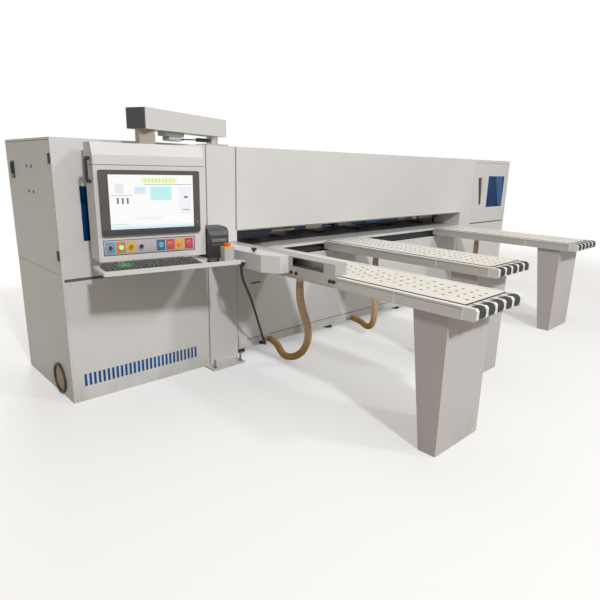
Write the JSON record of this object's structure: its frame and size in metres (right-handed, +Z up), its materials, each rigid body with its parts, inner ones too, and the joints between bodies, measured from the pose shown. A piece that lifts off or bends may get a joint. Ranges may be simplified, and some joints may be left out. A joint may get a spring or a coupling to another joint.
{
  "type": "panel beam saw",
  "caption": "Panel beam saw: long covered beam with saw carriage and pressure beam, air tables with side fence, rear gripper feeder and operator console on a swing arm.",
  "frame": {"origin": "bottom centre of the machine's box, on the floor", "axes": "+X along the saw line to the right end, +Y away from the operator, +Z up"},
  "size_m": [6.313, 6.152, 2],
  "materials": {
    "cover_paint": "satin",
    "shade_paint": "satin",
    "blue_paint": "satin",
    "dark_paint": "satin",
    "ground_steel": "brushed",
    "bright_steel": "polished",
    "aluminium": "anodised",
    "cream_plate": "matte",
    "black_plastic": "matte",
    "roller_rubber": "matte",
    "hose_tan": "matte",
    "cable_black": "matte",
    "blue_glass": "tinted",
    "case_dark": "matte",
    "red_plastic": "gloss",
    "green_plastic": "gloss",
    "teal_plastic": "gloss",
    "amber_plastic": "gloss",
    "yellow_plastic": "gloss"
  },
  "bodies": {
    "machine": {"base_frame": "blue_paint", "levelling_feet": "dark_paint", "cabinet_shell": "cover_paint", "vent_panel": "cover_paint", "cabinet_window": "blue_glass", "electrical_plate": "ground_steel", "air_blower": "dark_paint", "column_post": "cover_paint", "beam_cover": "cover_paint", "bridge_beam": "blue_paint", "lift_cylinders": "aluminium", "lower_front_panel": "cover_paint", "saw_table": "ground_steel", "carriage_rails": "bright_steel", "air_tables": "aluminium", "table_tops": "cream_plate", "table_legs": "cover_paint", "side_fence": "aluminium", "fence_cover": "cover_paint", "air_hoses": "hose_tan", "control_cable": "cable_black", "service_fittings": "black_plastic", "arm_post": "shade_paint", "right_tower": "cover_paint", "rear_frame": "blue_paint", "rear_supports": "aluminium"},
    "pressure_beam": {"pressure_beam": "blue_paint"},
    "saw_carriage": {"saw_carriage": "dark_paint"},
    "saw_lift": {"saw_unit": "ground_steel", "saw_motors": "dark_paint"},
    "main_blade": {"main_blade": "bright_steel"},
    "scoring_blade": {"scoring_blade": "bright_steel"},
    "feeder": {"feeder_gantry": "blue_paint", "gripper_bodies": "dark_paint"},
    "gripper_jaws": {"gripper_jaws": "bright_steel"},
    "cabinet_door": {"cabinet_door": "cover_paint"},
    "right_door": {"right_door": "cover_paint", "right_window": "blue_glass"},
    "swing_arm": {"swing_arm": "cover_paint", "arm_caps": "case_dark"},
    "console": {"console_housing": "cover_paint", "monitor": "case_dark", "keyboard_tray": "cover_paint", "keyboard": "black_plastic", "label_printer": "black_plastic", "stop_box": "yellow_plastic", "console_handle": "black_plastic"},
    "printer_lid": {"printer_lid": "black_plastic"},
    "stop_button": {"stop_button": "red_plastic"},
    "power_switch": {"power_switch": "black_plastic"},
    "start_button": {"start_button": "green_plastic"},
    "mode_switch": {"mode_switch": "yellow_plastic"},
    "height_switch": {"height_switch": "black_plastic"},
    "clamp_button": {"clamp_button": "teal_plastic"},
    "return_button": {"return_button": "red_plastic"},
    "air_button": {"air_button": "amber_plastic"},
    "cancel_button": {"cancel_button": "red_plastic"},
    "front_rollers_1": {"front_rollers_1": "roller_rubber"},
    "front_rollers_2": {"front_rollers_2": "roller_rubber"},
    "front_rollers_3": {"front_rollers_3": "roller_rubber"}
  },
  "joints": [
    {"name": "beam_lift", "type": "slide", "parent": "machine", "child": "pressure_beam", "axis": [0, 0, 1], "range_m": [-0.078, 0]},
    {"name": "carriage_travel", "type": "slide", "parent": "machine", "child": "saw_carriage", "axis": [1, 0, 0], "range_m": [0, 3.7]},
    {"name": "saw_rise", "type": "slide", "parent": "saw_carriage", "child": "saw_lift", "axis": [0, 0, 1], "range_m": [0, 0.1]},
    {"name": "main_spin", "type": "hinge", "parent": "saw_lift", "child": "main_blade", "pos_m": [-1.4485, -0.424, 0.742], "axis": [0, 1, 0], "continuous": true},
    {"name": "scoring_spin", "type": "hinge", "parent": "saw_lift", "child": "scoring_blade", "pos_m": [-1.1285, -0.424, 0.773], "axis": [0, 1, 0], "continuous": true},
    {"name": "feeder_travel", "type": "slide", "parent": "machine", "child": "feeder", "axis": [0, 1, 0], "range_m": [0, 2.55]},
    {"name": "jaw_close", "type": "hinge", "parent": "feeder", "child": "gripper_jaws", "pos_m": [0.1115, 0.076, 1.06], "axis": [1, 0, 0], "range_deg": [0, 7]},
    {"name": "cabinet_door_swing", "type": "hinge", "parent": "machine", "child": "cabinet_door", "pos_m": [-3.145, -0.812, 1.361], "axis": [0, 0, 1], "range_deg": [0, 110]},
    {"name": "right_door_swing", "type": "hinge", "parent": "machine", "child": "right_door", "pos_m": [3.1255, -0.8305, 1.365], "axis": [0, 0, 1], "range_deg": [0, 110]},
    {"name": "arm_swing", "type": "hinge", "parent": "machine", "child": "swing_arm", "pos_m": [-1.8785, -0.729, 1.935], "axis": [0, 0, 1], "range_deg": [0, 7]},
    {"name": "console_swivel", "type": "hinge", "parent": "swing_arm", "child": "console", "pos_m": [-2.5935, -1.014, 1.9], "axis": [0, 0, 1], "range_deg": [-8, 7]},
    {"name": "lid_open", "type": "hinge", "parent": "console", "child": "printer_lid", "pos_m": [-2.17491, -1.09751, 1.1258], "axis": [-0.9877, 0.1564, 0], "range_deg": [0, 75]},
    {"name": "stop_press", "type": "slide", "parent": "console", "child": "stop_button", "axis": [0, 0, -1], "range_m": [0, 0.005], "stiffness_N_per_m": 2000},
    {"name": "power_switch_turn", "type": "hinge", "parent": "console", "child": "power_switch", "pos_m": [-2.92315, -1.11366, 1.125], "axis": [0.1564, 0.9877, 0], "range_deg": [-45, 45]},
    {"name": "start_button_press", "type": "slide", "parent": "console", "child": "start_button", "axis": [0.1564, 0.9877, 0], "range_m": [0, 0.003], "stiffness_N_per_m": 1000},
    {"name": "mode_switch_turn", "type": "hinge", "parent": "console", "child": "mode_switch", "pos_m": [-2.79277, -1.13431, 1.125], "axis": [0.1564, 0.9877, 0], "range_deg": [-45, 45]},
    {"name": "height_switch_turn", "type": "hinge", "parent": "console", "child": "height_switch", "pos_m": [-2.72759, -1.14463, 1.125], "axis": [0.1564, 0.9877, 0], "range_deg": [-45, 45]},
    {"name": "clamp_button_press", "type": "slide", "parent": "console", "child": "clamp_button", "axis": [0.1564, 0.9877, 0], "range_m": [0, 0.003], "stiffness_N_per_m": 1000},
    {"name": "return_button_press", "type": "slide", "parent": "console", "child": "return_button", "axis": [0.1564, 0.9877, 0], "range_m": [0, 0.003], "stiffness_N_per_m": 1000},
    {"name": "air_button_press", "type": "slide", "parent": "console", "child": "air_button", "axis": [0.1564, 0.9877, 0], "range_m": [0, 0.003], "stiffness_N_per_m": 1000},
    {"name": "cancel_button_press", "type": "slide", "parent": "console", "child": "cancel_button", "axis": [0.1564, 0.9877, 0], "range_m": [0, 0.003], "stiffness_N_per_m": 1000},
    {"name": "roller_spin_1", "type": "hinge", "parent": "machine", "child": "front_rollers_1", "pos_m": [-1.5625, -3.038, 0.92], "axis": [1, 0, 0], "continuous": true},
    {"name": "roller_spin_2", "type": "hinge", "parent": "machine", "child": "front_rollers_2", "pos_m": [-0.3805, -2.584, 0.92], "axis": [1, 0, 0], "continuous": true},
    {"name": "roller_spin_3", "type": "hinge", "parent": "machine", "child": "front_rollers_3", "pos_m": [1.5585, -2.471, 0.92], "axis": [1, 0, 0], "continuous": true}
  ]
}
